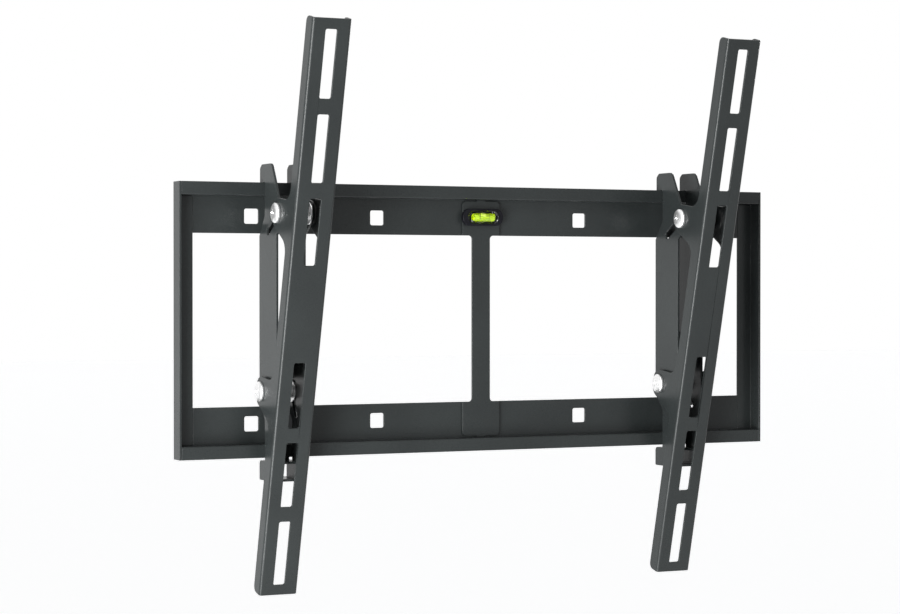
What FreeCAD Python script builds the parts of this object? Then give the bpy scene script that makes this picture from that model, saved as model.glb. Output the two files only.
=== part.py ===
"""Tilting wall bracket for a flat screen: a welded wall plate, and on it a pair of
hook brackets that each carry a slotted arm.

Frame: X along the wall, +Y into the wall, +Z up. The origin is the middle of the
wall plate, on the wall. The arms are drawn upright in their own frame and placed
at the tilt they rest at.
"""
import FreeCAD, Part
import math
import os

import Sketcher

doc = FreeCAD.newDocument("wall_bracket")
sheet = doc.addObject("Spreadsheet::Sheet", "sizes")
vector = FreeCAD.Vector


class Size:
    """A number together with the expression that gives it from the sheet."""

    def __init__(self, value, text):
        self.value = value
        self.text = text

    def join(self, other, sign, swap=False):
        other = other if isinstance(other, Size) else Size(other, repr(other))
        first, second = (other, self) if swap else (self, other)
        value = {
            "+": lambda: first.value + second.value,
            "-": lambda: first.value - second.value,
            "*": lambda: first.value * second.value,
            "/": lambda: first.value / second.value,
        }[sign]()
        return Size(value, "(%s %s %s)" % (first.text, sign, second.text))

    def __add__(self, other):
        return self.join(other, "+")

    def __radd__(self, other):
        return self.join(other, "+", swap=True)

    def __sub__(self, other):
        return self.join(other, "-")

    def __rsub__(self, other):
        return self.join(other, "-", swap=True)

    def __mul__(self, other):
        return self.join(other, "*")

    def __rmul__(self, other):
        return self.join(other, "*", swap=True)

    def __truediv__(self, other):
        return self.join(other, "/")

    def __neg__(self):
        return self.join(-1, "*", swap=True)


def sine(angle):
    return Size(math.sin(math.radians(angle.value)), "sin(%s * 1deg)" % angle.text)


def cosine(angle):
    return Size(math.cos(math.radians(angle.value)), "cos(%s * 1deg)" % angle.text)


def length(name, value):
    """Puts one driving dimension in the sheet and gives it back as a Size."""
    length.row += 1
    cell = "B%d" % length.row
    sheet.set("A%d" % length.row, name)
    sheet.set(cell, str(value))
    sheet.setAlias(cell, name)
    return Size(value, "sizes." + name)


length.row = 0

# Wall plate
plate_width = length("plate_width", 533)
plate_height = length("plate_height", 217.5)
plate_depth = length("plate_depth", 14.8)
plate_sheet = length("plate_sheet", 2)
rail_height = length("rail_height", 40)
lip_height = length("lip_height", 10.5)
end_web = length("end_web", 15.5)
hole_side = length("hole_side", 12)
hole_corner = length("hole_corner", 1.6)
hole_inner = length("hole_inner", 93.2)
hole_outer = length("hole_outer", 202)
hole_drop = length("hole_drop", 26.4)
bend_radius = length("bend_radius", 1.2)

# Centre strut and spirit level
strut_width = length("strut_width", 16.4)
head_width = length("head_width", 34)
head_corner = length("head_corner", 3)
strut_fillet = length("strut_fillet", 3)
tab_width = length("tab_width", 8)
strut_gap = length("strut_gap", 1.2)
level_length = length("level_length", 37)
level_height = length("level_height", 14)
level_thick = length("level_thick", 4)
level_rise = length("level_rise", 1.4)
vial_length = length("vial_length", 22)
vial_bore = length("vial_bore", 7)
vial_wall = length("vial_wall", 0.8)
vial_clearance = length("vial_clearance", 0.2)

# Hook brackets
bracket_spread = length("bracket_spread", 181.5)
bracket_shift = length("bracket_shift", -2)
bracket_width = length("bracket_width", 25)
bracket_sheet = length("bracket_sheet", 2)
bracket_depth = length("bracket_depth", 37)
wall_gap = length("wall_gap", 3.5)
hook_rise = length("hook_rise", 14.5)
hook_reach = length("hook_reach", 26.5)
hook_overlap = length("hook_overlap", 7.3)
hook_clearance = length("hook_clearance", 0.3)
lip_clearance = length("lip_clearance", 0.6)
foot_gap = length("foot_gap", 2.4)
foot_height = length("foot_height", 15.6)
foot_taper = length("foot_taper", 9)
ear_front = length("ear_front", 7.3)
ear_back = length("ear_back", 6)
ear_over = length("ear_over", 1.5)
ear_slope = length("ear_slope", 3)
ear_under = length("ear_under", 2)
hook_inset = length("hook_inset", 1.5)
hook_chamfer = length("hook_chamfer", 3)
hook_chamfer_run = length("hook_chamfer_run", 4)
neck_drop = length("neck_drop", 2)
front_end = length("front_end", 28)
relief_high = length("relief_high", 13.5)
relief_low = length("relief_low", 10)
relief_foot = length("relief_foot", 3)
plate_corner = length("plate_corner", 3)
crown_corner = length("crown_corner", 6)
plate_hollow = length("plate_hollow", 4)
foot_corner = length("foot_corner", 1.5)
web_low = length("web_low", 12.5)
web_height = length("web_height", 34)

# Tilt: two bolts on each arm run in slots that are arcs about one centre
tilt_rest = length("tilt_rest", 14.3)
tilt_most = length("tilt_most", 14.3)
tilt_least = length("tilt_least", 0)
slot_spare = length("slot_spare", 0.4)
slot_clearance = length("slot_clearance", 0.3)
centre_out = length("centre_out", 88.7)
centre_down = length("centre_down", 31.8)

# Arms
arm_sheet = length("arm_sheet", 2)
arm_depth = length("arm_depth", 13.2)
arm_half = length("arm_half", 230)
arm_bend = length("arm_bend", 2.4)
arm_bend_inside = length("arm_bend_inside", 0.6)
arm_out = length("arm_out", 69)
arm_up = length("arm_up", 4.7)
arm_end_margin = length("arm_end_margin", 8.3)
arm_slot_width = length("arm_slot_width", 9.5)
arm_slot_gap = length("arm_slot_gap", 12)
arm_slot_first = length("arm_slot_first", 38.7)
arm_slot_corner = length("arm_slot_corner", 1.5)
arm_end_corner = length("arm_end_corner", 5)
bolt_behind = length("bolt_behind", 36.7)
bolt_drop = length("bolt_drop", 36.6)
ear_radius = length("ear_radius", 10.5)
ear_low = length("ear_low", 9.5)
ear_root_high = length("ear_root_high", 15)
ear_root_low = length("ear_root_low", 19.5)
ear_hollow = length("ear_hollow", 11)
round_spare = length("round_spare", 0.3)

# Tilt hardware
bolt_size = length("bolt_size", 6)
bolt_head = length("bolt_head", 15.8)
bolt_head_height = length("bolt_head_height", 4)
bolt_fit = length("bolt_fit", 0.1)
slide_clearance = length("slide_clearance", 0.1)
washer_size = length("washer_size", 18)
washer_thick = length("washer_thick", 1.2)
spacer_size = length("spacer_size", 17)
spacer_thick = length("spacer_thick", 1.4)
nut_flats = length("nut_flats", 10)
nut_height = length("nut_height", 5)
bolt_tail = length("bolt_tail", 1)
recess_depth = length("recess_depth", 1.8)
recess_length = length("recess_length", 5.2)
recess_width = length("recess_width", 1.1)

# Lock plates
lock_sheet = length("lock_sheet", 2)
lock_depth = length("lock_depth", 24)
lock_side = length("lock_side", 0.4)
tongue_height = length("tongue_height", 7.2)
tongue_width = length("tongue_width", 6)
tongue_centre = length("tongue_centre", 6.6)
tongue_clearance = length("tongue_clearance", 0.5)
lock_screw_size = length("lock_screw_size", 5)
lock_screw_head = length("lock_screw_head", 9)
lock_screw_head_height = length("lock_screw_head_height", 2.6)
lock_screw_behind = length("lock_screw_behind", 8.5)
lock_screw_fit = length("lock_screw_fit", 0.1)
lock_screw_short = length("lock_screw_short", 3)
lock_inset = length("lock_inset", 1.5)
tongue_corner = length("tongue_corner", 1.5)

doc.recompute()

# Derived places
half_width = plate_width / 2
half_height = plate_height / 2
hole_level = half_height - hole_drop
rail_edge = half_height - rail_height
joggle_level = half_height - lip_height
strut_face = 2 * plate_sheet
flange_out = bracket_width / 2
flange_in = flange_out - bracket_sheet
arm_inner = flange_out + slide_clearance + spacer_thick
arm_face = arm_inner + arm_sheet
arm_slot = (arm_half - arm_end_margin - arm_slot_first - 2 * arm_slot_gap) / 3
bolt_half = half_height - bolt_drop
web_top = -web_low
web_bottom = web_top - web_height
nut_start = flange_in - slide_clearance - washer_thick
nut_end = nut_start - nut_height
foot_top = -(half_height + foot_gap)
foot_bottom = foot_top - foot_height
tongue_top = foot_top + foot_gap + tongue_height


def arm_point(behind, along):
    """Where a point of the tilted arm lies: (Y, Z) from its depth and its height."""
    across = behind * cosine(tilt_rest) - along * sine(tilt_rest) - arm_out
    up = behind * sine(tilt_rest) + along * cosine(tilt_rest) + arm_up
    return across, up


upper_bolt = arm_point(bolt_behind, bolt_half)
lower_bolt = arm_point(bolt_behind, -bolt_half)


def turned(point, angle):
    """A point swung about the tilt centre; a positive angle brings the arm upright."""
    off_y = point[0] + centre_out
    off_z = point[1] + centre_down
    across = off_y * cosine(angle) + off_z * sine(angle) - centre_out
    up = off_z * cosine(angle) - off_y * sine(angle) - centre_down
    return across, up


def plane_of(body, role):
    for feature in body.Origin.OriginFeatures:
        if feature.Role == role:
            return feature
    raise RuntimeError("no plane " + role)


def new_body(label):
    body = doc.addObject("PartDesign::Body", label)
    body.Label = label
    return body


def new_sketch(body, role):
    sketch = body.newObject("Sketcher::SketchObject", "sketch")
    sketch.AttachmentSupport = [(plane_of(body, role), "")]
    sketch.MapMode = "FlatFace"
    return sketch


def bind(target, path, size):
    """Ties a property to its expression; a plain number is set as it is."""
    if isinstance(size, Size):
        target.setExpression(path, size.text)
    else:
        target.setExpression(path, repr(float(size)))


def place_vertex(sketch, index, position, point):
    """Dimensions one vertex from the sketch's origin, across and up."""
    for kind, size in (("DistanceX", point[0]), ("DistanceY", point[1])):
        value = size.value if isinstance(size, Size) else float(size)
        number = sketch.addConstraint(Sketcher.Constraint(kind, -1, 1, index, position, value))
        if isinstance(size, Size):
            sketch.setExpression("Constraints[%d]" % number, size.text)


def number(size):
    return size.value if isinstance(size, Size) else float(size)


def draw_outline(sketch, points):
    """A closed outline of straight lines through dimensioned corners."""
    first = sketch.GeometryCount
    flat = [vector(number(y), number(z), 0) for y, z in points]
    count = len(flat)
    for index in range(count):
        sketch.addGeometry(Part.LineSegment(flat[index], flat[(index + 1) % count]), False)
    for index in range(count):
        after = first + (index + 1) % count
        sketch.addConstraint(Sketcher.Constraint("Coincident", first + index, 2, after, 1))
        place_vertex(sketch, first + index, 1, points[index])


def draw_box(sketch, low, high):
    draw_outline(sketch, [low, (high[0], low[1]), high, (low[0], high[1])])


def draw_circle(sketch, centre, radius):
    middle = vector(number(centre[0]), number(centre[1]), 0)
    index = sketch.addGeometry(Part.Circle(middle, vector(0, 0, 1), number(radius)), False)
    place_vertex(sketch, index, 3, centre)
    at = sketch.addConstraint(Sketcher.Constraint("Radius", index, number(radius)))
    if isinstance(radius, Size):
        sketch.setExpression("Constraints[%d]" % at, radius.text)


def draw_arcs(sketch, corners, arcs):
    """A closed outline whose sides are arcs, each with its centre, radius and turn.

    The corners are dimensioned, and so is each arc's radius. A half round has no
    radius of its own: its centre's place across is dimensioned instead."""
    first = sketch.GeometryCount
    count = len(corners)
    flat = [vector(number(y), number(z), 0) for y, z in corners]
    for index, (centre, radius, turn) in enumerate(arcs):
        middle = vector(number(centre[0]), number(centre[1]), 0)
        start, end = flat[index] - middle, flat[(index + 1) % count] - middle
        angles = [math.atan2(start.y, start.x), math.atan2(end.y, end.x)]
        circle = Part.Circle(middle, vector(0, 0, 1), start.Length)
        sketch.addGeometry(Part.ArcOfCircle(circle, *angles[::turn]), False)
    for index, (centre, radius, turn) in enumerate(arcs):
        begin, finish = (1, 2) if turn > 0 else (2, 1)
        following = (index + 1) % count
        other = 1 if arcs[following][2] > 0 else 2
        sketch.addConstraint(
            Sketcher.Constraint("Coincident", first + index, finish, first + following, other)
        )
        place_vertex(sketch, first + index, begin, corners[index])
        if radius is None:
            rule = Sketcher.Constraint("DistanceX", -1, 1, first + index, 3, number(centre[0]))
            at, text = sketch.addConstraint(rule), centre[0].text
        else:
            rule = Sketcher.Constraint("Radius", first + index, number(radius))
            at, text = sketch.addConstraint(rule), radius.text
        sketch.setExpression("Constraints[%d]" % at, text)


def draw_swing(sketch, bolt, from_angle, to_angle, half_slot):
    """The slot that a bolt needs to swing about the tilt centre."""
    centre = (-centre_out, -centre_down)
    off = (bolt[0] + centre_out, bolt[1] + centre_down)
    reach_text = "sqrt(%s * %s + %s * %s)" % (off[0].text, off[0].text, off[1].text, off[1].text)
    reach = Size(math.hypot(off[0].value, off[1].value), reach_text)
    unit = (off[0] / reach, off[1] / reach)

    def on_slot(angle, side):
        point = (bolt[0] + unit[0] * half_slot * side, bolt[1] + unit[1] * half_slot * side)
        return turned(point, angle)

    corners = [
        on_slot(from_angle, 1),
        on_slot(to_angle, 1),
        on_slot(to_angle, -1),
        on_slot(from_angle, -1),
    ]
    arcs = [
        (centre, reach + half_slot, -1),
        (turned(bolt, to_angle), None, -1),
        (centre, reach - half_slot, 1),
        (turned(bolt, from_angle), None, -1),
    ]
    draw_arcs(sketch, corners, arcs)


def pad(body, sketch, size, both=False, back=False):
    feature = body.newObject("PartDesign::Pad", "pad")
    feature.Profile = sketch
    bind(feature, "Length", size)
    if both:
        feature.SideType = "Symmetric"
    feature.Reversed = back
    doc.recompute()
    return feature


def pocket(body, sketch, size=None, both=False, back=False):
    """Cuts a sketch out of the body: right through, or to a stated length."""
    before = body.Shape.Volume
    feature = body.newObject("PartDesign::Pocket", "pocket")
    feature.Profile = sketch
    if size is None:
        feature.Type = "ThroughAll"
    else:
        bind(feature, "Length", size)
    if both:
        feature.SideType = "Symmetric"
    feature.Reversed = back
    doc.recompute()
    if not feature.Shape.Volume < before - 1e-6:
        raise RuntimeError(body.Label + ": a pocket cuts nothing")
    return feature


def round_edges(body, radius, wanted):
    """Fillets the straight edges of the body's shape that the test picks."""
    names = []
    for index, edge in enumerate(body.Shape.Edges):
        if len(edge.Vertexes) == 2 and wanted(edge.Vertexes[0].Point, edge.Vertexes[1].Point):
            names.append("Edge%d" % (index + 1))
    if not names:
        raise RuntimeError(body.Label + ": no edge to round")
    carrier = body.Tip
    feature = body.newObject("PartDesign::Fillet", "fillet")
    feature.Base = (carrier, names)
    bind(feature, "Radius", radius)
    doc.recompute()
    if "Invalid" in feature.State:
        raise RuntimeError("%s: radius %s does not fit" % (body.Label, number(radius)))
    return feature


def at_corners(axis, corners, tolerance=0.02):
    """Picks edges along one axis that stand at one of the stated corners."""
    others = [i for i in range(3) if i != axis]
    places = [tuple(number(value) for value in corner) for corner in corners]

    def wanted(a, b):
        if any(abs(a[i] - b[i]) > tolerance for i in others):
            return False
        return any(
            all(abs(a[i] - place[k]) < tolerance for k, i in enumerate(others)) for place in places
        )

    return wanted


def make_rail(label, up):
    """One Z-section rail: web on the wall, joggle, and a lip that stands off it.

    up is 1 for the top rail and -1 for the bottom one, its mirror image."""
    body = new_body(label)
    section = new_sketch(body, "YZ_Plane")
    edge, lip_root, top = up * rail_edge, up * joggle_level, up * half_height
    inner_root = up * (joggle_level + plate_sheet)
    draw_outline(section, [
        (0, edge),
        (0, inner_root),
        (plate_sheet - plate_depth, inner_root),
        (plate_sheet - plate_depth, top),
        (-plate_depth, top),
        (-plate_depth, lip_root),
        (-plate_sheet, lip_root),
        (-plate_sheet, edge),
    ])
    pad(body, section, plate_width - 2 * plate_sheet, both=True)
    round_edges(body, bend_radius, at_corners(0, [
        (-plate_depth, lip_root),
        (0, inner_root),
    ]))
    # The web stops where the end pieces' own webs begin.
    ends = new_sketch(body, "XZ_Plane")
    for side in (-1, 1):
        near, far = side * (half_width - end_web), side * (half_width + plate_sheet)
        draw_box(ends, (near, edge - up * plate_sheet), (far, lip_root))
    pocket(body, ends, plate_sheet * 3, both=True)
    holes = new_sketch(body, "XZ_Plane")
    places = [side * at for at in (hole_inner, hole_outer) for side in (-1, 1)]
    reach = hole_side / 2
    for at in places:
        draw_box(holes, (at - reach, up * hole_level - reach), (at + reach, up * hole_level + reach))
    pocket(body, holes, plate_sheet * 3, both=True)
    round_edges(body, hole_corner, at_corners(1, [
        (at + i * reach, up * hole_level + j * reach) for at in places for i in (-1, 1) for j in (-1, 1)
    ]))
    return body


def make_end_piece(label, side):
    """An upright that closes one end: a web on the wall and a flange round the rails' ends."""
    body = new_body(label)
    section = new_sketch(body, "XY_Plane")
    outer, inner = side * half_width, side * (half_width - plate_sheet)
    web_edge = side * (half_width - end_web)
    draw_outline(section, [
        (outer, 0),
        (outer, -plate_depth),
        (inner, -plate_depth),
        (inner, -plate_sheet),
        (web_edge, -plate_sheet),
        (web_edge, 0),
    ])
    pad(body, section, plate_height, both=True)
    round_edges(body, bend_radius, at_corners(2, [(outer, 0)]))
    # Above and below, the web gives way to the rails' joggles.
    notch = new_sketch(body, "XZ_Plane")
    for up in (-1, 1):
        beyond = up * (half_height + plate_sheet)
        draw_box(notch, (web_edge - side * plate_sheet, up * joggle_level), (inner, beyond))
    pocket(body, notch, plate_sheet * 3, both=True)
    return body


def make_strut():
    """The flat upright in the middle, with a wide head over each rail."""
    body = new_body("centre_strut")
    outline = new_sketch(body, "XZ_Plane")
    narrow, wide, tab = strut_width / 2, head_width / 2, tab_width / 2
    head_top = joggle_level - strut_gap
    points = []
    for across, up in ((1, 1), (-1, 1), (-1, -1), (1, -1)):
        corner = [
            (across * narrow, up * rail_edge),
            (across * wide, up * rail_edge),
            (across * wide, up * head_top),
            (across * tab, up * head_top),
            (across * tab, up * joggle_level),
        ]
        points += corner if across * up > 0 else corner[::-1]
    draw_outline(outline, points)
    pad(body, outline, strut_face)
    clear = new_sketch(body, "XZ_Plane")
    draw_box(clear, (-head_width, -half_height), (head_width, half_height))
    pocket(body, clear, plate_sheet * 2, both=True)
    round_edges(body, strut_fillet, at_corners(1, [
        (i * narrow, j * rail_edge) for i in (-1, 1) for j in (-1, 1)
    ]))
    round_edges(body, head_corner, at_corners(1, [
        (i * wide, j * head_top) for i in (-1, 1) for j in (-1, 1)
    ]))
    return body


def make_level():
    """The spirit level's obround holder, with a window for the vial."""
    holder = new_body("level_holder")
    outline = new_sketch(holder, "XZ_Plane")
    half_long, half_tall = level_length / 2, level_height / 2
    level_mid = hole_level + level_rise
    draw_box(outline, (-half_long, level_mid - half_tall), (half_long, level_mid + half_tall))
    pad(holder, outline, strut_face + level_thick)
    clear = new_sketch(holder, "XZ_Plane")
    low, high = level_mid - level_height, level_mid + level_height
    draw_box(clear, (-level_length, low), (level_length, high))
    pocket(holder, clear, 2 * strut_face, both=True)
    round_edges(holder, half_tall - round_spare, at_corners(1, [
        (i * half_long, level_mid + j * half_tall) for i in (-1, 1) for j in (-1, 1)
    ]))
    window = new_sketch(holder, "XZ_Plane")
    vial_half = vial_length / 2 + vial_clearance
    vial_tall = vial_bore / 2 + vial_wall + vial_clearance
    draw_box(window, (-vial_half, level_mid - vial_tall), (vial_half, level_mid + vial_tall))
    pocket(holder, window, back=True)
    return holder, level_mid


def make_vial(level_mid):
    """The vial is a tube closed at both ends, its liquid one solid with the bubble in it."""
    radius = vial_bore / 2 + vial_wall
    vial = new_body("level_vial")
    tube = new_sketch(vial, "YZ_Plane")
    centre = (-(strut_face + radius), level_mid)
    draw_circle(tube, centre, radius)
    pad(vial, tube, vial_length, both=True)
    hollow = new_sketch(vial, "YZ_Plane")
    draw_circle(hollow, centre, vial_bore / 2)
    pocket(vial, hollow, vial_length - 2 * vial_wall, both=True)
    liquid = new_body("level_liquid")
    fill = new_sketch(liquid, "YZ_Plane")
    draw_circle(fill, centre, vial_bore / 2)
    pad(liquid, fill, vial_length - 2 * vial_wall, both=True)
    return vial, liquid


def bracket_outline():
    """The side plate's outline, from the hook's tip round the top, front, foot and back."""
    back = -wall_gap
    lip_back = plate_sheet - plate_depth
    tip_front = lip_back + 2 * hook_clearance
    crown = half_height + hook_clearance
    top = half_height + hook_rise
    before_lip = -(plate_depth + lip_clearance)
    front = -(wall_gap + bracket_depth)
    ear_tip = upper_bolt[0] - ear_front
    front_high = upper_bolt[1] + ear_front + ear_over
    front_low = upper_bolt[1] - ear_front + ear_under
    tip_back = back - hook_inset
    return [
        (tip_back, crown - hook_overlap),
        (tip_back, top - hook_chamfer),
        (tip_back - hook_chamfer_run, top),
        (back - hook_reach, top),
        (upper_bolt[0] + ear_back, front_high + ear_slope),
        (ear_tip, front_high),
        (ear_tip, front_low),
        (front, rail_edge - neck_drop),
        (front, -(half_height - front_end)),
        (front + foot_taper, foot_bottom),
        (back, foot_bottom),
        (back, foot_top),
        (before_lip, foot_top),
        (before_lip, -(rail_edge + relief_low)),
        (back, -(rail_edge - relief_foot)),
        (back, rail_edge - neck_drop),
        (before_lip, rail_edge + relief_high),
        (before_lip, crown),
        (tip_front, crown),
        (tip_front, crown - hook_overlap),
    ]


def seat_on_rails(body, side, behind=None):
    """Places what a hook bracket carries at the bracket's place along the rails."""
    across = side * bracket_spread + bracket_shift
    depth = number(behind) if behind else 0
    at = vector(number(across), -depth, 0)
    body.Placement = FreeCAD.Placement(at, FreeCAD.Rotation())
    body.setExpression("Placement.Base.x", across.text)
    if behind:
        body.setExpression("Placement.Base.y", "-" + behind.text)


def make_bracket(label, side):
    """A hook bracket: two side plates, a web behind them and a floor under them."""
    body = new_body(label)
    outline = new_sketch(body, "YZ_Plane")
    points = bracket_outline()
    draw_outline(outline, points)
    pad(body, outline, bracket_width, both=True)
    # All between the side plates is open, apart from the web and the floor.
    inside = new_sketch(body, "YZ_Plane")
    skin = -(wall_gap + bracket_sheet)
    draw_outline(inside, [
        (-half_height, plate_height),
        (half_height, plate_height),
        (half_height, web_top),
        (skin, web_top),
        (skin, web_bottom),
        (half_height, web_bottom),
        (half_height, foot_bottom + bracket_sheet),
        (-half_height, foot_bottom + bracket_sheet),
    ])
    pocket(body, inside, 2 * flange_in, both=True)
    half_slot = bolt_size / 2 + slot_clearance
    for bolt in (upper_bolt, lower_bolt):
        slot = new_sketch(body, "YZ_Plane")
        upright = tilt_rest - tilt_least + slot_spare
        draw_swing(slot, bolt, tilt_rest - tilt_most, upright, half_slot)
        pocket(body, slot, both=True)
    floor_hole = new_sketch(body, "XY_Plane")
    draw_circle(floor_hole, (0, -lock_screw_behind), lock_screw_size / 2)
    pocket(body, floor_hole)
    round_edges(body, plate_corner, at_corners(0, [points[i] for i in (1, 2, 4, 11)]))
    round_edges(body, crown_corner, at_corners(0, [points[3]]))
    round_edges(body, foot_corner, at_corners(0, [points[10]]))
    round_edges(body, plate_hollow, at_corners(0, [points[i] for i in (5, 6, 8, 13, 14)]))
    seat_on_rails(body, side)
    return body


def seat_on_arm(body, side):
    """Places what is drawn in the arm's own frame at the arm's rest."""
    across = side * bracket_spread + bracket_shift
    rest = FreeCAD.Rotation(vector(1, 0, 0), number(tilt_rest))
    body.Placement = FreeCAD.Placement(
        vector(number(across), -number(arm_out), number(arm_up)), rest
    )
    body.setExpression("Placement.Base.x", across.text)
    body.setExpression("Placement.Base.y", "-" + arm_out.text)
    body.setExpression("Placement.Base.z", arm_up.text)
    body.setExpression("Placement.Rotation.Angle", tilt_rest.text + " * 1deg")


def make_arm(label, side):
    """A slotted U-channel arm with two pairs of ears."""
    body = new_body(label)
    outline = new_sketch(body, "YZ_Plane")
    ear_tip = bolt_behind + ear_radius
    roots, tips = [], []
    for bolt in (bolt_half, -bolt_half):
        roots += [(arm_depth, bolt + ear_root_high), (arm_depth, bolt - ear_root_low)]
        tips += [(ear_tip, bolt + ear_radius), (ear_tip, bolt - ear_low)]
    ears = [roots[0], tips[0], tips[1], roots[1], roots[2], tips[2], tips[3], roots[3]]
    ends = [(arm_depth, arm_half), (arm_depth, -arm_half)]
    draw_outline(outline, [(0, arm_half), ends[0]] + ears + [ends[1], (0, -arm_half)])
    pad(body, outline, 2 * arm_face, both=True)
    channel = new_sketch(body, "XY_Plane")
    draw_box(channel, (-arm_inner, arm_sheet), (arm_inner, ear_tip + ear_radius))
    pocket(body, channel, 3 * arm_half, both=True)
    round_edges(body, arm_bend, at_corners(2, [(-arm_face, 0), (arm_face, 0)]))
    round_edges(body, arm_bend_inside, at_corners(2, [
        (-arm_inner, arm_sheet),
        (arm_inner, arm_sheet),
    ]))
    slots = new_sketch(body, "XZ_Plane")
    reach = arm_slot_width / 2
    spans = []
    for index in range(3):
        start = arm_slot_first + index * (arm_slot + arm_slot_gap)
        spans += [(start, start + arm_slot), (-start - arm_slot, -start)]
    for low, high in spans:
        draw_box(slots, (-reach, low), (reach, high))
    pocket(body, slots, 3 * arm_sheet, both=True)
    round_edges(body, arm_slot_corner, at_corners(1, [
        (i * reach, end) for span in spans for end in span for i in (-1, 1)
    ]))
    holes = new_sketch(body, "YZ_Plane")
    for up in (1, -1):
        draw_circle(holes, (bolt_behind, up * bolt_half), bolt_size / 2 + bolt_fit)
    pocket(body, holes, both=True)
    round_edges(body, ear_radius - round_spare, at_corners(0, tips))
    round_edges(body, ear_hollow, at_corners(0, roots))
    round_edges(body, arm_end_corner, at_corners(0, ends))
    seat_on_arm(body, side)
    return body


# Shares of a screw head's height and radius that give its dome
head_edge_share, dome_rise_share, dome_radius_share = 0.35, 0.85, 0.62


def ring(start, thick, outer, inner, centre, hand):
    """A flat ring or disc along X, from a stated distance outwards, as a plain shape."""
    where = vector(hand * start, centre[0], centre[1])
    along = vector(hand, 0, 0)
    shape = Part.makeCylinder(outer, thick, where, along)
    if inner:
        shape = shape.cut(Part.makeCylinder(inner, thick, where, along))
    return shape


def bolt_centres(which):
    places = {"upper": [1], "lower": [-1], "both": [1, -1]}[which]
    return [(number(bolt_behind), up * number(bolt_half)) for up in places]


def each_bolt(make, which):
    """One copy of a fastener for each ear that it goes through."""
    return Part.makeCompound([make(hand, at) for at in bolt_centres(which) for hand in (-1, 1)])


def screw_shape(hand, at):
    """A pan-head screw: domed head outside the ear, shank to inside the bracket."""
    head, rise = number(bolt_head) / 2, number(bolt_head_height)
    root, tip = number(arm_face), number(nut_end - bolt_tail)
    edge = rise * head_edge_share
    profile = Part.Wire([
        Part.LineSegment(vector(root, 0, 0), vector(root, head, 0)).toShape(),
        Part.LineSegment(vector(root, head, 0), vector(root + edge, head, 0)).toShape(),
        Part.Arc(
            vector(root + edge, head, 0),
            vector(root + rise * dome_rise_share, head * dome_radius_share, 0),
            vector(root + rise, 0, 0),
        ).toShape(),
        Part.LineSegment(vector(root + rise, 0, 0), vector(root, 0, 0)).toShape(),
    ])
    dome = Part.Face(profile).revolve(vector(0, 0, 0), vector(1, 0, 0), 360)
    shank = Part.makeCylinder(number(bolt_size) / 2, root - tip, vector(tip, 0, 0), vector(1, 0, 0))
    recess = cross_recess(root + rise)
    shape = dome.fuse(shank).removeSplitter().cut(recess)
    if hand < 0:
        shape = shape.rotate(vector(0, 0, 0), vector(0, 0, 1), 180)
    shape.translate(vector(0, at[0], at[1]))
    return shape


def cross_recess(face):
    """The cross that a driver turns."""
    deep, long, thin = number(recess_depth), number(recess_length), number(recess_width)
    corner = vector(face - deep, -long / 2, -thin / 2)
    blades = []
    for angle in (0, 90):
        blade = Part.makeBox(deep, long, thin, corner)
        blades.append(blade.rotate(vector(0, 0, 0), vector(1, 0, 0), angle))
    return blades[0].fuse(blades[1])


def nut_shape(hand, at):
    """A hexagon nut, its two faces along X."""
    start, thick = number(nut_start), number(nut_height)
    corner = number(nut_flats) / math.sqrt(3)
    points = [
        vector(0, corner * math.cos(math.radians(60 * i)), corner * math.sin(math.radians(60 * i)))
        for i in range(7)
    ]
    prism = Part.Face(Part.makePolygon(points)).extrude(vector(thick, 0, 0))
    bore = Part.makeCylinder(number(bolt_size) / 2, thick, vector(0, 0, 0), vector(1, 0, 0))
    shape = prism.cut(bore)
    shape.translate(vector(start - thick if hand > 0 else -start, at[0], at[1]))
    return shape


def spacer_shape(hand, at):
    """The plastic disc between an ear and the side plate that it slides on."""
    start, thick = number(flange_out + slide_clearance), number(spacer_thick)
    return ring(start, thick, number(spacer_size) / 2, number(bolt_size) / 2, at, hand)


def washer_shape(hand, at):
    """The steel washer that slides on the inside of a side plate."""
    thick, hole = number(washer_thick), number(bolt_size) / 2
    return ring(number(nut_start), thick, number(washer_size) / 2, hole, at, hand)


def add_hardware(label, shape, side):
    feature = doc.addObject("Part::Feature", label)
    feature.Label = label
    feature.Shape = shape
    seat_on_arm(feature, side)
    return feature


def make_lock_plate(label, side):
    """The lock plate: a flat plate with two tongues that rise behind the bottom lip."""
    body = new_body(label)
    half = flange_in - lock_side
    top = foot_top
    back = -(wall_gap + lock_inset)
    front = plate_sheet - plate_depth + tongue_clearance
    section = new_sketch(body, "YZ_Plane")
    draw_box(section, (back - lock_depth, top - lock_sheet), (back, top))
    pad(body, section, 2 * half, both=True)
    tongues = new_sketch(body, "YZ_Plane")
    draw_box(tongues, (front, top - lock_sheet), (front + lock_sheet, tongue_top))
    pad(body, tongues, 2 * (tongue_centre + tongue_width / 2), both=True)
    between = new_sketch(body, "XZ_Plane")
    gap = tongue_centre - tongue_width / 2
    draw_box(between, (-gap, top), (gap, tongue_top + lock_sheet))
    pocket(body, between, 4 * plate_depth, both=True)
    hole = new_sketch(body, "XY_Plane")
    draw_circle(hole, (0, -lock_screw_behind), lock_screw_size / 2 + lock_screw_fit)
    pocket(body, hole, 2 * plate_height, both=True)
    round_edges(body, tongue_corner, at_corners(1, [
        (i * (tongue_centre + j * tongue_width / 2), tongue_top) for i in (-1, 1) for j in (-1, 1)
    ]))
    seat_on_rails(body, side)
    return body


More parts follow.
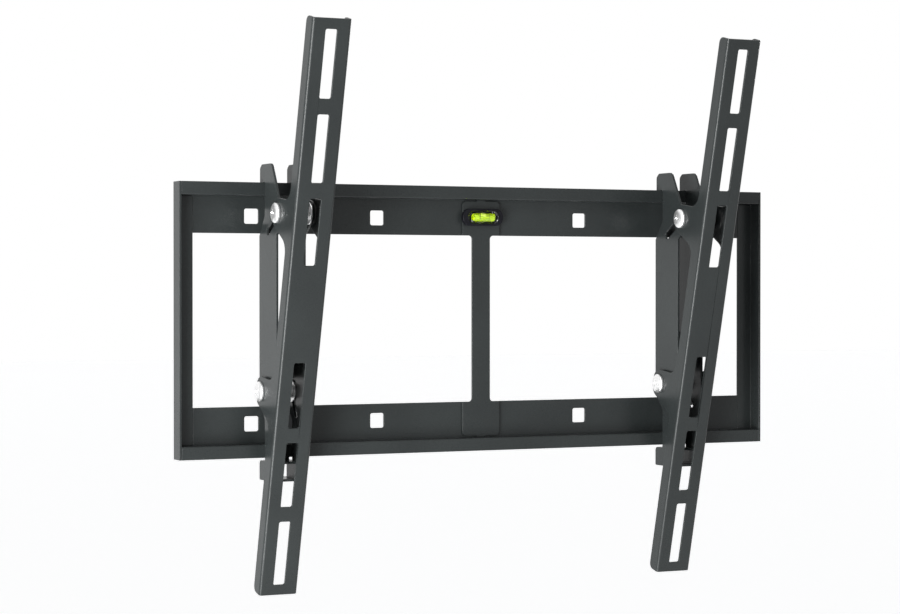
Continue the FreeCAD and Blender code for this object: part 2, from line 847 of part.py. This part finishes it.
def make_lock_screw(label, side):
    """The screw under the floor that the lock plate runs on."""
    body = new_body(label)
    section = new_sketch(body, "XZ_Plane")
    tip = tongue_top - lock_screw_short
    head_low = foot_bottom - lock_screw_head_height
    draw_outline(section, [
        (0, head_low),
        (lock_screw_head / 2, head_low),
        (lock_screw_head / 2, foot_bottom),
        (lock_screw_size / 2, foot_bottom),
        (lock_screw_size / 2, tip),
        (0, tip),
    ])
    turn = body.newObject("PartDesign::Revolution", "turn")
    turn.Profile = section
    turn.ReferenceAxis = (section, ["V_Axis"])
    turn.Angle = 360
    doc.recompute()
    seat_on_rails(body, side, behind=lock_screw_behind)
    return body


pieces = [
    make_rail("top_rail", 1),
    make_rail("bottom_rail", -1),
    make_end_piece("left_end_piece", -1),
    make_end_piece("right_end_piece", 1),
    make_strut(),
]
level_holder, level_mid = make_level()
pieces.append(level_holder)
pieces += make_vial(level_mid)

for name, side in (("left", -1), ("right", 1)):
    pieces += [
        make_bracket(name + "_hook_bracket", side),
        make_arm(name + "_tv_arm", side),
        add_hardware(name + "_upper_tilt_screws", each_bolt(screw_shape, "upper"), side),
        add_hardware(name + "_lower_tilt_screws", each_bolt(screw_shape, "lower"), side),
        add_hardware(name + "_tilt_spacers", each_bolt(spacer_shape, "both"), side),
        add_hardware(name + "_tilt_washers", each_bolt(washer_shape, "both"), side),
        add_hardware(name + "_tilt_nuts", each_bolt(nut_shape, "both"), side),
        make_lock_plate(name + "_lock_plate", side),
        make_lock_screw(name + "_lock_screw", side),
    ]

doc.recompute()
for item in doc.Objects:
    if "Invalid" in item.State or "Error" in item.State:
        raise RuntimeError("%s did not build: %s" % (item.Label, item.State))
os.makedirs("parts", exist_ok=True)
for piece in pieces:
    if piece.Shape.isNull() or not piece.Shape.isValid():
        raise RuntimeError(piece.Label + " has no valid shape")
    piece.Shape.exportStep("parts/%s.step" % piece.Label)
    print(piece.Label, len(piece.Shape.Solids), round(piece.Shape.Volume))
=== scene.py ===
"""Looks of the tilting wall bracket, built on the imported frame.

Metres; +X along the wall, +Y into the wall, +Z up. Sheet pieces are rebuilt from their
nodes with softened edges; fasteners and the spirit level are modelled anew.
"""
import math

import bmesh
import bpy
from mathutils import Matrix, Vector


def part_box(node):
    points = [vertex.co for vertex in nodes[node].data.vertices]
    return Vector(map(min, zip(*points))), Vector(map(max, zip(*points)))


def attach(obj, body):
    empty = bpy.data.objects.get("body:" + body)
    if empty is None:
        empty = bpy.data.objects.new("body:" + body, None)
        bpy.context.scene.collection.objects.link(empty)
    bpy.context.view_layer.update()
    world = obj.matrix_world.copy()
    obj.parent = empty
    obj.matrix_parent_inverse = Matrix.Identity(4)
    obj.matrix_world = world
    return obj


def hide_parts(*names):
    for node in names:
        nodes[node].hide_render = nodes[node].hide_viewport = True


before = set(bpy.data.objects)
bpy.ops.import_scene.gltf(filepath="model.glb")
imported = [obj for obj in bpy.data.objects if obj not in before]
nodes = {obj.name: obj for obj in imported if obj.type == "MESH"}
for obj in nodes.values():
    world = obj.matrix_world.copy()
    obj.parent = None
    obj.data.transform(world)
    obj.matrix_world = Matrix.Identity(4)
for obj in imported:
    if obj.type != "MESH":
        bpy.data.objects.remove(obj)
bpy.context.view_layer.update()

MM = 0.001

# An arm's own frame: where it stands and how far it leans
TILT_DEG = 14.3
ARM_OUT, ARM_UP = 69 * MM, 4.7 * MM
BOLT_BEHIND, BOLT_HALF = 36.7 * MM, 72.15 * MM

# Camera, fitted to the photograph
CAMERA_AT = (-0.86615, -1.76749, 0.02755)
CAMERA_YAW, CAMERA_PITCH = 25.404, 0.524
CAMERA_LENS = 36 * 2369.8 / 900

FLOOR_LEVEL, FLOOR_LIFT = -1.35, 0.8
LIGHT_AIM = (0, -0.05, 0)


# Materials

def new_material(name):
    material = bpy.data.materials.new(name)
    material.use_nodes = True
    tree = material.node_tree
    return material, tree, tree.nodes["Principled BSDF"]


def add_noise(tree, scale, detail=2.0, roughness=0.5):
    """A noise texture over the piece's own coordinates, in cycles per metre."""
    coords = tree.nodes.new("ShaderNodeTexCoord")
    noise = tree.nodes.new("ShaderNodeTexNoise")
    noise.inputs["Scale"].default_value = scale
    noise.inputs["Detail"].default_value = detail
    noise.inputs["Roughness"].default_value = roughness
    tree.links.new(coords.outputs["Object"], noise.inputs["Vector"])
    return noise.outputs["Fac"]


def add_range(tree, value, low, high, start=0.3, end=0.7):
    """Maps the middle of a noise to a stated range."""
    node = tree.nodes.new("ShaderNodeMapRange")
    node.inputs["From Min"].default_value = start
    node.inputs["From Max"].default_value = end
    node.inputs["To Min"].default_value = low
    node.inputs["To Max"].default_value = high
    tree.links.new(value, node.inputs["Value"])
    return node.outputs["Result"]


def add_blend(tree, value, first, second, start=0.35, end=0.65):
    """A colour between two, by a noise."""
    ramp = tree.nodes.new("ShaderNodeValToRGB")
    ramp.color_ramp.elements[0].position = start
    ramp.color_ramp.elements[1].position = end
    ramp.color_ramp.elements[0].color = (*first, 1)
    ramp.color_ramp.elements[1].color = (*second, 1)
    tree.links.new(value, ramp.inputs["Fac"])
    return ramp.outputs["Color"]


def add_bump(tree, height, depth, strength=1.0, under=None):
    """A bump of a stated depth in metres, on top of another one if there is one."""
    bump = tree.nodes.new("ShaderNodeBump")
    bump.inputs["Strength"].default_value = strength
    bump.inputs["Distance"].default_value = depth
    tree.links.new(height, bump.inputs["Height"])
    if under is not None:
        tree.links.new(under, bump.inputs["Normal"])
    return bump.outputs["Normal"]


def make_powder_coat():
    """Satin charcoal powder coat: flowed orange peel with a fine grain in it."""
    material, tree, shader = new_material("powder_coat")
    tone = add_noise(tree, 16, detail=3)
    colour = add_blend(tree, tone, (0.0190, 0.0222, 0.0224), (0.0235, 0.0275, 0.0275))
    tree.links.new(colour, shader.inputs["Base Color"])
    grain = add_noise(tree, 2600, detail=2)
    tree.links.new(add_range(tree, grain, 0.25, 0.33), shader.inputs["Roughness"])
    peel = add_bump(tree, add_noise(tree, 620, detail=1.5), 0.00006)
    tree.links.new(add_bump(tree, grain, 0.00002, under=peel), shader.inputs["Normal"])
    shader.inputs["Specular IOR Level"].default_value = 0.26
    return material


def make_zinc():
    """Bright zinc plate with fine turning marks."""
    material, tree, shader = new_material("zinc_steel")
    tone = add_noise(tree, 240, detail=3)
    colour = add_blend(tree, tone, (0.78, 0.78, 0.78), (0.88, 0.88, 0.88))
    tree.links.new(colour, shader.inputs["Base Color"])
    shader.inputs["Metallic"].default_value = 0.85
    grain = add_noise(tree, 3800, detail=2)
    tree.links.new(add_range(tree, grain, 0.26, 0.38), shader.inputs["Roughness"])
    tree.links.new(add_bump(tree, grain, 0.000008), shader.inputs["Normal"])
    return material


def make_plastic(name, first, second, rough, depth, gloss=0.5, coat=0.0):
    """Moulded plastic with a fine spark-eroded grain."""
    material, tree, shader = new_material(name)
    shader.inputs["Specular IOR Level"].default_value = gloss
    shader.inputs["Coat Weight"].default_value = coat
    tone = add_noise(tree, 300, detail=2)
    tree.links.new(add_blend(tree, tone, first, second), shader.inputs["Base Color"])
    grain = add_noise(tree, 3000, detail=2)
    tree.links.new(add_range(tree, grain, rough - 0.05, rough + 0.05), shader.inputs["Roughness"])
    tree.links.new(add_bump(tree, grain, depth), shader.inputs["Normal"])
    return material


def make_clear():
    """The vial's clear acrylic."""
    material, tree, shader = new_material("clear_plastic")
    tone = add_noise(tree, 200, detail=1)
    tree.links.new(add_blend(tree, tone, (0.93, 0.97, 0.93), (1, 1, 1)), shader.inputs["Base Color"])
    shader.inputs["Transmission Weight"].default_value = 1.0
    shader.inputs["IOR"].default_value = 1.2
    flow = add_noise(tree, 500, detail=1)
    tree.links.new(add_range(tree, flow, 0.01, 0.05), shader.inputs["Roughness"])
    return material


def make_liquid():
    """Lime green level liquid, with a faint painted glow: it emits a little of its own colour."""
    material, tree, shader = new_material("level_liquid")
    tone = add_noise(tree, 260, detail=2)
    colour = add_blend(tree, tone, (0.27, 0.41, 0.002), (0.35, 0.50, 0.005))
    tree.links.new(colour, shader.inputs["Base Color"])
    # Painted glow: the liquid emits its own colour, so it reads brighter than the lamps alone light it.
    tree.links.new(colour, shader.inputs["Emission Color"])
    shader.inputs["Emission Strength"].default_value = 0.04
    flow = add_noise(tree, 900, detail=1)
    tree.links.new(add_range(tree, flow, 0.05, 0.12), shader.inputs["Roughness"])
    return material


powder = make_powder_coat()
zinc = make_zinc()
BLACK = (0.010, 0.010, 0.011), (0.016, 0.016, 0.017)
DEEP_BLACK = (0.004, 0.004, 0.006), (0.008, 0.008, 0.011)
black_plastic = make_plastic("black_plastic", *BLACK, 0.38, 0.00001)
nylon = make_plastic("spacer_nylon", (0.012, 0.012, 0.012), (0.020, 0.020, 0.020), 0.5, 0.00002)
holder_plastic = make_plastic("holder_plastic", *DEEP_BLACK, 0.24, 0.000004, gloss=0.12)
dish_plastic = make_plastic("dish_plastic", *DEEP_BLACK, 0.14, 0.000002, coat=0.6)
clear = make_clear()
liquid = make_liquid()
bubble_skin = make_plastic("level_bubble", (0.48, 0.66, 0.05), (0.60, 0.76, 0.12), 0.12, 0.000002)


# Mesh helpers

def link_mesh(name, mesh, material, body, replaced=()):
    """Puts a mesh in the scene, finished and riding on its body."""
    mesh.materials.clear()
    mesh.materials.append(material)
    piece = bpy.data.objects.new(name, mesh)
    bpy.context.scene.collection.objects.link(piece)
    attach(piece, body)
    if replaced:
        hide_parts(*replaced)
    return piece


def mesh_from(name, work):
    mesh = bpy.data.meshes.new(name)
    bmesh.ops.recalc_face_normals(work, faces=work.faces)
    work.to_mesh(mesh)
    work.free()
    return mesh


def soften(piece, width, segments=2, angle=32):
    """Rounds a piece's edges and keeps its flat faces flat."""
    for face in piece.data.polygons:
        face.use_smooth = True
    bevel = piece.modifiers.new("edges", "BEVEL")
    bevel.width = width
    bevel.segments = segments
    bevel.limit_method = "ANGLE"
    bevel.angle_limit = math.radians(angle)
    bevel.use_clamp_overlap = False
    bevel.miter_outer = "MITER_ARC"
    flat = piece.modifiers.new("flats", "WEIGHTED_NORMAL")
    flat.weight = 100
    flat.keep_sharp = False


def rebuild_sheet(node, body, material, width=0.00035):
    """A sheet piece from its node, with its coplanar facets joined and its edges softened."""
    work = bmesh.new()
    work.from_mesh(nodes[node].data)
    bmesh.ops.remove_doubles(work, verts=work.verts, dist=2e-6)
    bmesh.ops.dissolve_limit(
        work, angle_limit=math.radians(0.4), verts=work.verts, edges=work.edges,
        use_dissolve_boundaries=False,
    )
    piece = link_mesh(node + "_skin", mesh_from(node + "_skin", work), material, body, (node,))
    soften(piece, width)
    return piece


def spin_profile(work, profile, steps=64):
    """Turns (along, radius) points about X; a radius of 0 closes the end in a point."""
    rings = []
    for along, radius in profile:
        if radius < 1e-7:
            rings.append([work.verts.new((along, 0, 0))])
            continue
        rings.append([
            work.verts.new((along, radius * math.cos(a), radius * math.sin(a)))
            for a in (2 * math.pi * i / steps for i in range(steps))
        ])
    for first, second in zip(rings, rings[1:]):
        for i in range(steps):
            j = (i + 1) % steps
            quad = [
                first[i % len(first)], first[j % len(first)],
                second[j % len(second)], second[i % len(second)],
            ]
            corners = []
            for vert in quad:
                if vert not in corners:
                    corners.append(vert)
            if len(corners) > 2:
                work.faces.new(corners)
    return rings


def arc_points(centre, radius, start, end, steps):
    """Points of an arc in (along, radius) space, by angles in degrees."""
    return [
        (
            centre[0] + radius * math.cos(math.radians(start + (end - start) * i / steps)),
            centre[1] + radius * math.sin(math.radians(start + (end - start) * i / steps)),
        )
        for i in range(steps + 1)
    ]


def arm_place(side, up, hand):
    """The matrix from a bolt's own frame, +X outward, to where it stands on an arm."""
    low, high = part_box(side + "_tv_arm")
    lean = Matrix.Rotation(math.radians(TILT_DEG), 4, "X")
    seat = Matrix.Translation(((low.x + high.x) / 2, -ARM_OUT, ARM_UP))
    bolt = Matrix.Translation((0, BOLT_BEHIND, up * BOLT_HALF))
    turn = Matrix.Rotation(0 if hand > 0 else math.pi, 4, "Z")
    return seat @ lean @ bolt @ turn


def join_copies(name, source, places):
    """One mesh with a copy of the source at each place."""
    work = bmesh.new()
    for place in places:
        start = len(work.verts)
        work.from_mesh(source)
        work.verts.ensure_lookup_table()
        for vert in work.verts[start:]:
            vert.co = place @ vert.co
    mesh = bpy.data.meshes.new(name)
    work.to_mesh(mesh)
    work.free()
    return mesh


def join_meshes(name, *sources):
    """One mesh that holds all the sources as they are."""
    work = bmesh.new()
    for source in sources:
        work.from_mesh(source)
    mesh = bpy.data.meshes.new(name)
    work.to_mesh(mesh)
    work.free()
    return mesh


def cut(mesh, tool):
    """The mesh with the tool cut out of it."""
    body = bpy.data.objects.new("cut_body", mesh)
    cutter = bpy.data.objects.new("cut_tool", tool)
    for item in (body, cutter):
        bpy.context.scene.collection.objects.link(item)
    boolean = body.modifiers.new("cut", "BOOLEAN")
    boolean.operation = "DIFFERENCE"
    boolean.solver = "EXACT"
    boolean.object = cutter
    bpy.context.view_layer.update()
    graph = bpy.context.evaluated_depsgraph_get()
    result = bpy.data.meshes.new_from_object(body.evaluated_get(graph))
    for item in (body, cutter):
        bpy.data.objects.remove(item)
    return result


def shade_smooth(piece, angle=30):
    for face in piece.data.polygons:
        face.use_smooth = True
    piece.data.set_sharp_from_angle(angle=math.radians(angle))


# Fasteners, in a bolt's own frame: x is the distance from the bracket's middle

HEAD_ROOT, HEAD_RADIUS, HEAD_RISE = 16 * MM, 7.9 * MM, 4 * MM
SHANK_RADIUS, SHANK_TIP, THREAD_PITCH = 3 * MM, 3.2 * MM, 1 * MM
WASHER_START, WASHER_RADIUS, WASHER_THICK = 9.2 * MM, 9 * MM, 1.2 * MM
SPACER_START, SPACER_END, SPACER_RADIUS = 12.6 * MM, 14 * MM, 8.5 * MM
NUT_START, NUT_END, NUT_FLATS = 4.2 * MM, 9.2 * MM, 10 * MM


def blade_tool(turn):
    """One tapered blade of the driver's cross, its mouth just proud of the head's top."""
    work = bmesh.new()
    top, deep = HEAD_ROOT + HEAD_RISE + 0.4 * MM, 2.3 * MM
    wide = ((3.0 * MM, 0.5 * MM), (1.3 * MM, 0.34 * MM))
    ends = []
    for at, (long, thin) in zip((top, top - deep), wide):
        corners = [(at, i * long, j * thin) for i, j in ((1, 1), (-1, 1), (-1, -1), (1, -1))]
        spin = Matrix.Rotation(math.radians(turn), 3, "X")
        ends.append([work.verts.new(spin @ Vector(corner)) for corner in corners])
    work.faces.new(ends[0])
    work.faces.new(ends[1][::-1])
    for i in range(4):
        j = (i + 1) % 4
        work.faces.new((ends[0][j], ends[0][i], ends[1][i], ends[1][j]))
    return mesh_from("blade_tool", work)


def head_mesh():
    """A pan head: flat seat, rounded rim and low dome."""
    work = bmesh.new()
    rim = 0.45 * MM
    profile = [(HEAD_ROOT, 0), (HEAD_ROOT, 3.1 * MM), (HEAD_ROOT, HEAD_RADIUS - rim)]
    profile += arc_points((HEAD_ROOT + rim, HEAD_RADIUS - rim), rim, 180, 90, 5)
    shoulder = 1.5 * MM
    profile.append((HEAD_ROOT + shoulder, HEAD_RADIUS))
    steps = 16
    for i in range(1, steps + 1):
        share = i / steps
        radius = HEAD_RADIUS * math.cos(share * math.pi / 2) ** 0.9 if i < steps else 0
        rise = shoulder + (HEAD_RISE - shoulder) * math.sin(share * math.pi / 2)
        profile.append((HEAD_ROOT + rise, radius))
    spin_profile(work, profile, 72)
    return mesh_from("screw_head", work)


def thread_mesh(start, end, radius, pitch, depth, steps=36, per_turn=8):
    """A threaded shank along X, its crests on the stated radius and its tip chamfered."""
    work = bmesh.new()
    count = int((end - start) / pitch * per_turn)
    rings = []
    for k in range(count + 1):
        along = start + (end - start) * k / count
        ring = []
        for i in range(steps):
            phase = (along / pitch - i / steps) % 1.0
            valley = 1 - abs(2 * phase - 1)
            edge = min(1.0, (along - start) / (0.7 * pitch))
            reach = radius - depth * min(1.0, max(0.0, valley * 1.3 - 0.15))
            reach -= (1 - edge) * 0.5 * depth
            angle = 2 * math.pi * i / steps
            ring.append(work.verts.new((along, reach * math.cos(angle), reach * math.sin(angle))))
        rings.append(ring)
    for first, second in zip(rings, rings[1:]):
        for i in range(steps):
            j = (i + 1) % steps
            work.faces.new((first[i], first[j], second[j], second[i]))
    work.faces.new(rings[0][::-1])
    work.faces.new(rings[-1])
    return mesh_from("thread", work)


def washer_mesh(start, end, outer, inner, rim):
    """A flat ring with rounded rims."""
    work = bmesh.new()
    profile = [(start, inner + rim), (start, outer - rim)]
    profile += arc_points((start + rim, outer - rim), rim, 180, 90, 4)
    profile += arc_points((end - rim, outer - rim), rim, 90, 0, 4)
    profile += [(end, inner + rim), (end - rim, inner), (start + rim, inner), (start, inner + rim)]
    spin_profile(work, profile, 64)
    bmesh.ops.remove_doubles(work, verts=work.verts, dist=1e-7)
    return mesh_from("washer", work)


def nut_mesh(start, end, flats, bore, chamfer_radius, steps=96):
    """A hexagon nut whose corners are turned down at both faces."""
    work = bmesh.new()

    def hexagon(angle):
        return flats / 2 / math.cos((angle % (math.pi / 3)) - math.pi / 6)

    slope = math.tan(math.radians(30))
    rings = []
    for kind in ("bore_a", "mouth_a", "face_a", "side_a", "side_b", "face_b", "mouth_b", "bore_b"):
        ring = []
        for i in range(steps):
            angle = 2 * math.pi * i / steps
            corner = hexagon(angle)
            drop = max(0.0, corner - chamfer_radius) * slope
            inner = min(corner, chamfer_radius)
            lip = 0.45 * MM
            along, radius = {
                "bore_a": (start + lip, bore),
                "mouth_a": (start, bore + lip),
                "face_a": (start, inner),
                "side_a": (start + drop, corner),
                "side_b": (end - drop, corner),
                "face_b": (end, inner),
                "mouth_b": (end, bore + lip),
                "bore_b": (end - lip, bore),
            }[kind]
            ring.append(work.verts.new((along, radius * math.cos(angle), radius * math.sin(angle))))
        rings.append(ring)
    for first, second in zip(rings, rings[1:] + rings[:1]):
        for i in range(steps):
            j = (i + 1) % steps
            work.faces.new((first[i], first[j], second[j], second[i]))
    bmesh.ops.remove_doubles(work, verts=work.verts, dist=1e-7)
    return mesh_from("nut", work)


def add_fasteners():
    head = cut(cut(head_mesh(), blade_tool(11)), blade_tool(101))
    thread = thread_mesh(SHANK_TIP, HEAD_ROOT + 0.2 * MM, SHANK_RADIUS, THREAD_PITCH, 0.55 * MM)
    screw = join_meshes("screw", head, thread)
    washer = washer_mesh(
        WASHER_START, WASHER_START + WASHER_THICK, WASHER_RADIUS, SHANK_RADIUS, 0.25 * MM
    )
    spacer = washer_mesh(SPACER_START, SPACER_END, SPACER_RADIUS, SHANK_RADIUS, 0.3 * MM)
    nut = nut_mesh(NUT_START, NUT_END, NUT_FLATS, SHANK_RADIUS - 0.3 * MM, 4.95 * MM)
    for name in ("left", "right"):
        body = name + "_arm"
        both = [arm_place(name, up, hand) for up in (1, -1) for hand in (-1, 1)]
        for up, which in ((1, "upper"), (-1, "lower")):
            node = "%s_%s_tilt_screws" % (name, which)
            places = [arm_place(name, up, hand) for hand in (-1, 1)]
            piece = link_mesh(
                node + "_detailed", join_copies(node, screw, places), zinc, body, (node,)
            )
            shade_smooth(piece, 35)
        for part, source, material, slot in (
            ("tilt_washers", washer, zinc, "zinc_steel"),
            ("tilt_spacers", spacer, nylon, "black_plastic"),
            ("tilt_nuts", nut, zinc, "zinc_steel"),
        ):
            node = name + "_" + part
            piece = link_mesh(
                node + "_detailed", join_copies(node, source, both), material, body, (node,)
            )
            shade_smooth(piece, 28)


def add_lock_screw(name):
    """The lock plate's screw: a round slotted head below and a thread up through the plate."""
    node = name + "_lock_screw"
    low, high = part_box(node)
    middle = Vector(((low.x + high.x) / 2, (low.y + high.y) / 2, 0))
    head_radius, head_rise, shank = (high.x - low.x) / 2, 2.6 * MM, 2.5 * MM
    work = bmesh.new()
    rim = 0.4 * MM
    profile = [(low.z, 0)]
    profile += arc_points((low.z + rim, head_radius - rim), rim, 180, 90, 4)
    profile += [(low.z + head_rise, head_radius), (low.z + head_rise, 0)]
    spin_profile(work, profile, 48)
    head = mesh_from("lock_head", work)
    slot_tool = bmesh.new()
    deep = 1.1 * MM
    stretch = Matrix.Diagonal((2 * deep, 3 * head_radius, 1.1 * MM, 1))
    bmesh.ops.create_cube(slot_tool, size=1, matrix=Matrix.Translation((low.z, 0, 0)) @ stretch)
    head = cut(head, mesh_from("slot_tool", slot_tool))
    thread = thread_mesh(low.z + head_rise - 0.1 * MM, high.z, shank, 0.8 * MM, 0.4 * MM)
    work = bmesh.new()
    work.from_mesh(head)
    work.from_mesh(thread)
    for vert in work.verts:
        along, across, up = vert.co
        vert.co = Vector((middle.x + across, middle.y + up, along))
    screw = mesh_from(node, work)
    piece = link_mesh(node + "_detailed", screw, zinc, name + "_bracket", (node,))
    shade_smooth(piece, 35)


def capsule_mesh(name, half_long, radius, flat=1.0, steps=56, rows=10):
    """A tube along X with domed ends."""
    work = bmesh.new()
    profile = [(-half_long, 0)]
    for i in range(1, rows + 1):
        angle = math.pi / 2 * i / rows
        profile.append((-half_long + radius * flat * (1 - math.cos(angle)), radius * math.sin(angle)))
    profile += [(-along, reach) for along, reach in profile[::-1]]
    spin_profile(work, profile, steps)
    bmesh.ops.remove_doubles(work, verts=work.verts, dist=1e-7)
    return mesh_from(name, work)


def dish_mesh(name, half_long, half_high, profile, steps=24):
    """A ring of (outward, back) points that runs along an obround in the XZ plane."""
    work = bmesh.new()
    line = []
    for hand in (1, -1):
        for i in range(steps + 1):
            angle = math.pi * i / steps - math.pi / 2
            out = Vector((hand * math.cos(angle), 0, hand * math.sin(angle)))
            line.append((Vector((hand * (half_long - half_high), 0, 0)) + out * half_high, out))
    loops = [
        [work.verts.new(at + reach * out + Vector((0, back, 0))) for reach, back in profile]
        for at, out in line
    ]
    for first, second in zip(loops, loops[1:] + loops[:1]):
        for i in range(len(profile)):
            j = (i + 1) % len(profile)
            work.faces.new((first[i], first[j], second[j], second[i]))
    return mesh_from(name, work)


def place_mesh(mesh, matrix):
    for vert in mesh.vertices:
        vert.co = matrix @ vert.co
    return mesh


def add_level():
    """Holder with a dished rim round its window, vial, liquid, bubble and two reading rings."""
    rebuild_sheet("level_holder", "wall_plate", holder_plastic, 0.0005)
    low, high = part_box("level_vial")
    middle = (low + high) / 2
    seat = Matrix.Translation(middle)
    half, radius = (high.x - low.x) / 2, (high.z - low.z) / 2
    vial = place_mesh(capsule_mesh("vial", half, radius, 0.45), seat)
    piece = link_mesh("level_vial_clear", vial, clear, "wall_plate", ("level_vial",))
    shade_smooth(piece, 40)
    inner = 2.75 * MM
    fill = place_mesh(capsule_mesh("fill", half - 0.9 * MM, inner, 0.45), seat)
    piece = link_mesh("level_liquid_fill", fill, liquid, "wall_plate", ("level_liquid",))
    shade_smooth(piece, 40)
    lift = Matrix.Translation(middle + Vector((-0.8 * MM, -0.55 * MM, 0.9 * MM)))
    bubble = place_mesh(capsule_mesh("bubble", 3.1 * MM, inner - 0.5 * MM, 0.8), lift)
    shade_smooth(link_mesh("level_bubble_air", bubble, bubble_skin, "wall_plate", ()), 40)
    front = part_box("level_holder")[0].y
    dish = dish_mesh("level_dish", 13.2 * MM, 4.7 * MM, [
        (0.75 * MM, 0.02 * MM), (0.6 * MM, -0.6 * MM), (0.15 * MM, -0.33 * MM), (-0.35 * MM, 0.02 * MM),
    ])
    place_mesh(dish, Matrix.Translation(Vector((middle.x, front, middle.z))))
    shade_smooth(link_mesh("level_window_dish", dish, dish_plastic, "wall_plate", ()), 50)
    rings = bmesh.new()
    for at in (-4.2 * MM, 4.2 * MM):
        wide, thick = 0.16 * MM, 0.05 * MM
        profile = [
            (at - wide, inner - 0.02 * MM), (at - wide, inner + thick),
            (at + wide, inner + thick), (at + wide, inner - 0.02 * MM), (at - wide, inner - 0.02 * MM),
        ]
        spin_profile(rings, profile, 48)
    bmesh.ops.remove_doubles(rings, verts=rings.verts, dist=1e-7)
    mesh = place_mesh(mesh_from("level_rings", rings), seat)
    link_mesh("level_reading_rings", mesh, black_plastic, "wall_plate", ())


# The object

for name in ("top_rail", "bottom_rail", "left_end_piece", "right_end_piece", "centre_strut"):
    rebuild_sheet(name, "wall_plate", powder)
for name in ("left", "right"):
    rebuild_sheet(name + "_hook_bracket", name + "_bracket", powder)
    rebuild_sheet(name + "_tv_arm", name + "_arm", powder)
    rebuild_sheet(name + "_lock_plate", name + "_lock", powder)
    add_lock_screw(name)
add_fasteners()
add_level()


# Floor, world, lights and camera

def white_for_lens(tree, lit, background):
    """A shader that is white for what looks at it directly, in a mirror or through glass."""
    rays = tree.nodes.new("ShaderNodeLightPath")
    either = None
    for name in ("Is Camera Ray", "Is Glossy Ray", "Is Transmission Ray"):
        if either is None:
            either = rays.outputs[name]
            continue
        top = tree.nodes.new("ShaderNodeMath")
        top.operation = "MAXIMUM"
        tree.links.new(either, top.inputs[0])
        tree.links.new(rays.outputs[name], top.inputs[1])
        either = top.outputs["Value"]
    mix = tree.nodes.new("ShaderNodeMixShader")
    tree.links.new(either, mix.inputs["Fac"])
    tree.links.new(lit, mix.inputs[1])
    tree.links.new(background, mix.inputs[2])
    return mix.outputs["Shader"]


world = bpy.data.worlds.new("studio")
world.use_nodes = True
bpy.context.scene.world = world
tree = world.node_tree
tree.nodes.clear()
lit = tree.nodes.new("ShaderNodeBackground")
lit.inputs["Color"].default_value = (0.93, 0.96, 1, 1)
lit.inputs["Strength"].default_value = 0.15
white = tree.nodes.new("ShaderNodeBackground")
white.inputs["Color"].default_value = (1, 1, 1, 1)
white.inputs["Strength"].default_value = 1.0
output = tree.nodes.new("ShaderNodeOutputWorld")
mixed = white_for_lens(tree, lit.outputs["Background"], white.outputs["Background"])
tree.links.new(mixed, output.inputs["Surface"])


def add_floor():
    """A pale floor well below the bracket, which hangs on its wall."""
    work = bmesh.new()
    bmesh.ops.create_grid(work, x_segments=1, y_segments=1, size=40)
    mesh = mesh_from("studio_floor", work)
    for vert in mesh.vertices:
        vert.co.z = FLOOR_LEVEL
    floor = bpy.data.objects.new("studio_floor", mesh)
    bpy.context.scene.collection.objects.link(floor)
    material, tree, shader = new_material("studio_floor")
    shader.inputs["Base Color"].default_value = (0.86, 0.86, 0.86, 1)
    shader.inputs["Roughness"].default_value = 0.7
    shader.inputs["Specular IOR Level"].default_value = 0.1
    # What looks at the floor sees it lifted to white, and still sees the shadow on it.
    glow = tree.nodes.new("ShaderNodeEmission")
    glow.inputs["Strength"].default_value = FLOOR_LIFT
    both = tree.nodes.new("ShaderNodeAddShader")
    tree.links.new(shader.outputs["BSDF"], both.inputs[0])
    tree.links.new(glow.outputs["Emission"], both.inputs[1])
    lifted = white_for_lens(tree, shader.outputs["BSDF"], both.outputs["Shader"])
    tree.links.new(lifted, tree.nodes["Material Output"].inputs["Surface"])
    mesh.materials.append(material)


add_floor()


def add_light(name, place, size, power):
    """A white area light that faces the bracket."""
    data = bpy.data.lights.new(name, "AREA")
    data.shape = "RECTANGLE"
    data.size, data.size_y = size
    data.energy = power
    light = bpy.data.objects.new(name, data)
    bpy.context.scene.collection.objects.link(light)
    light.location = place
    light.rotation_euler = (Vector(LIGHT_AIM) - Vector(place)).to_track_quat("-Z", "Y").to_euler()
    return light


add_light("key", (-1.4, -0.95, -0.38), (0.95, 1.3), 62)
add_light("soft", (-1.2, -1.9, 1.5), (0.6, 0.6), 14)
add_light("top", (0.1, -0.6, 2.4), (1.6, 1.0), 5)
add_light("back", (2.2, 1.5, 0.9), (1.0, 1.0), 60)

lens = bpy.data.cameras.new("camera")
lens.sensor_width = 36
lens.lens = CAMERA_LENS
camera = bpy.data.objects.new("camera", lens)
bpy.context.scene.collection.objects.link(camera)
camera.location = CAMERA_AT
camera.rotation_euler = (math.radians(90 - CAMERA_PITCH), 0, -math.radians(CAMERA_YAW))
bpy.context.scene.camera = camera
bpy.context.scene.view_settings.view_transform = "Standard"
